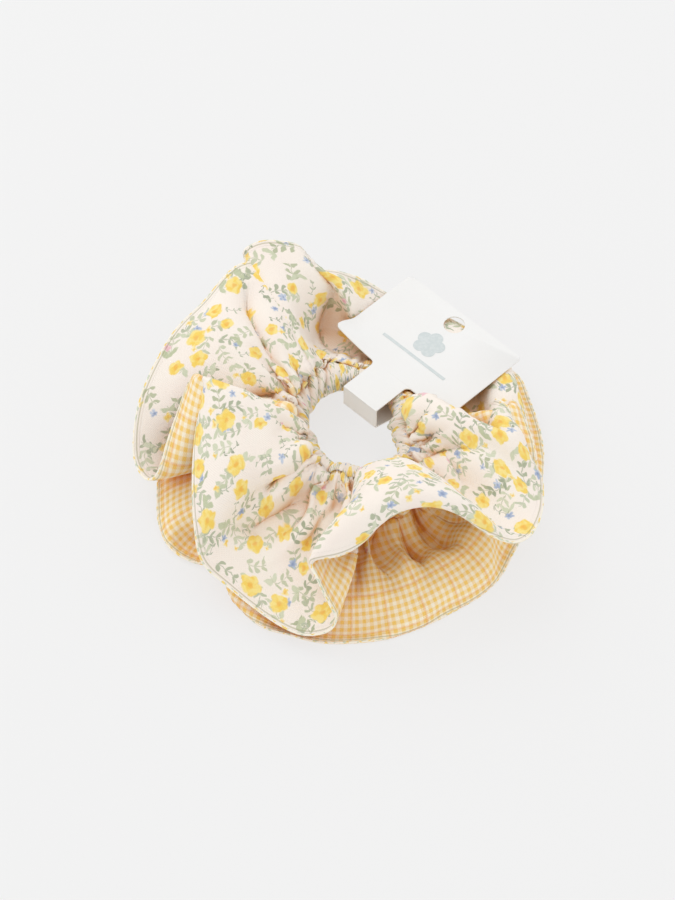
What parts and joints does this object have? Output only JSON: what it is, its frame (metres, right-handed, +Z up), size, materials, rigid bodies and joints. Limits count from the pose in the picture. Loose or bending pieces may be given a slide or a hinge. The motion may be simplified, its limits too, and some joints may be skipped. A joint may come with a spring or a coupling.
{
  "type": "scrunchie",
  "caption": "Ruffled fabric scrunchie with two double-layer wings on a gathered elastic band, held in a folded paper hang card.",
  "frame": {"origin": "on the table, under the middle of the hair hole", "axes": "+Z up through the hole; +Y from the hole out along the hang card; +X along the card's width"},
  "size_m": [0.15, 0.15, 0.0495],
  "materials": {
    "printed_cloth": "plain-weave cotton with a small printed flower pattern",
    "checked_cloth": "plain-weave cotton gingham",
    "hem": "turned and seamed cotton edge",
    "thread": "spun polyester sewing thread",
    "elastic": "braided elastic",
    "card": "smooth uncoated paperboard",
    "ink": "flat printed ink"
  },
  "bodies": {
    "band_free_side": {"casing_stitching_free_side": "thread", "checked_casing_lining_free_side": "checked_cloth", "checked_lower_wing_free_side": "checked_cloth", "checked_upper_wing_free_side": "checked_cloth", "elastic_free_side": "elastic", "elastic_join_stitching": "thread", "lower_hem_free_side": "hem", "printed_casing_free_side": "printed_cloth", "printed_lower_wing_free_side": "printed_cloth", "printed_upper_wing_free_side": "printed_cloth", "ring_closing_seam": "thread", "upper_hem_free_side": "hem"},
    "band_card_side": {"casing_stitching_card_side": "thread", "checked_casing_lining_card_side": "checked_cloth", "checked_lower_wing_card_side": "checked_cloth", "checked_upper_wing_card_side": "checked_cloth", "elastic_card_side": "elastic", "lower_hem_card_side": "hem", "printed_casing_card_side": "printed_cloth", "printed_lower_wing_card_side": "printed_cloth", "printed_upper_wing_card_side": "printed_cloth", "upper_hem_card_side": "hem"},
    "card_neck": {"card_spine": "card"},
    "card_front": {"card_front_neck": "card", "card_front_panel": "card", "card_printed_mark": "ink"},
    "card_back": {"card_back_neck": "card", "card_back_panel": "card"}
  },
  "joints": [
    {"name": "band_stretch", "type": "slide", "parent": "band_free_side", "child": "band_card_side", "axis": [0, 1, 0], "range_m": [0, 0.06], "stiffness_N_per_m": 90},
    {"name": "card_along_band", "type": "slide", "parent": "band_card_side", "child": "card_neck", "axis": [1, 0, 0], "range_m": [0, 0.003]},
    {"name": "card_front_crease", "type": "hinge", "parent": "card_neck", "child": "card_front", "pos_m": [-0.006, 0.0098, 0.02465], "axis": [1, 0, 0], "range_deg": [0, 100]},
    {"name": "card_back_crease", "type": "hinge", "parent": "card_neck", "child": "card_back", "pos_m": [-0.006, 0.0098, 0.01585], "axis": [-1, 0, 0], "range_deg": [0, 70]}
  ]
}
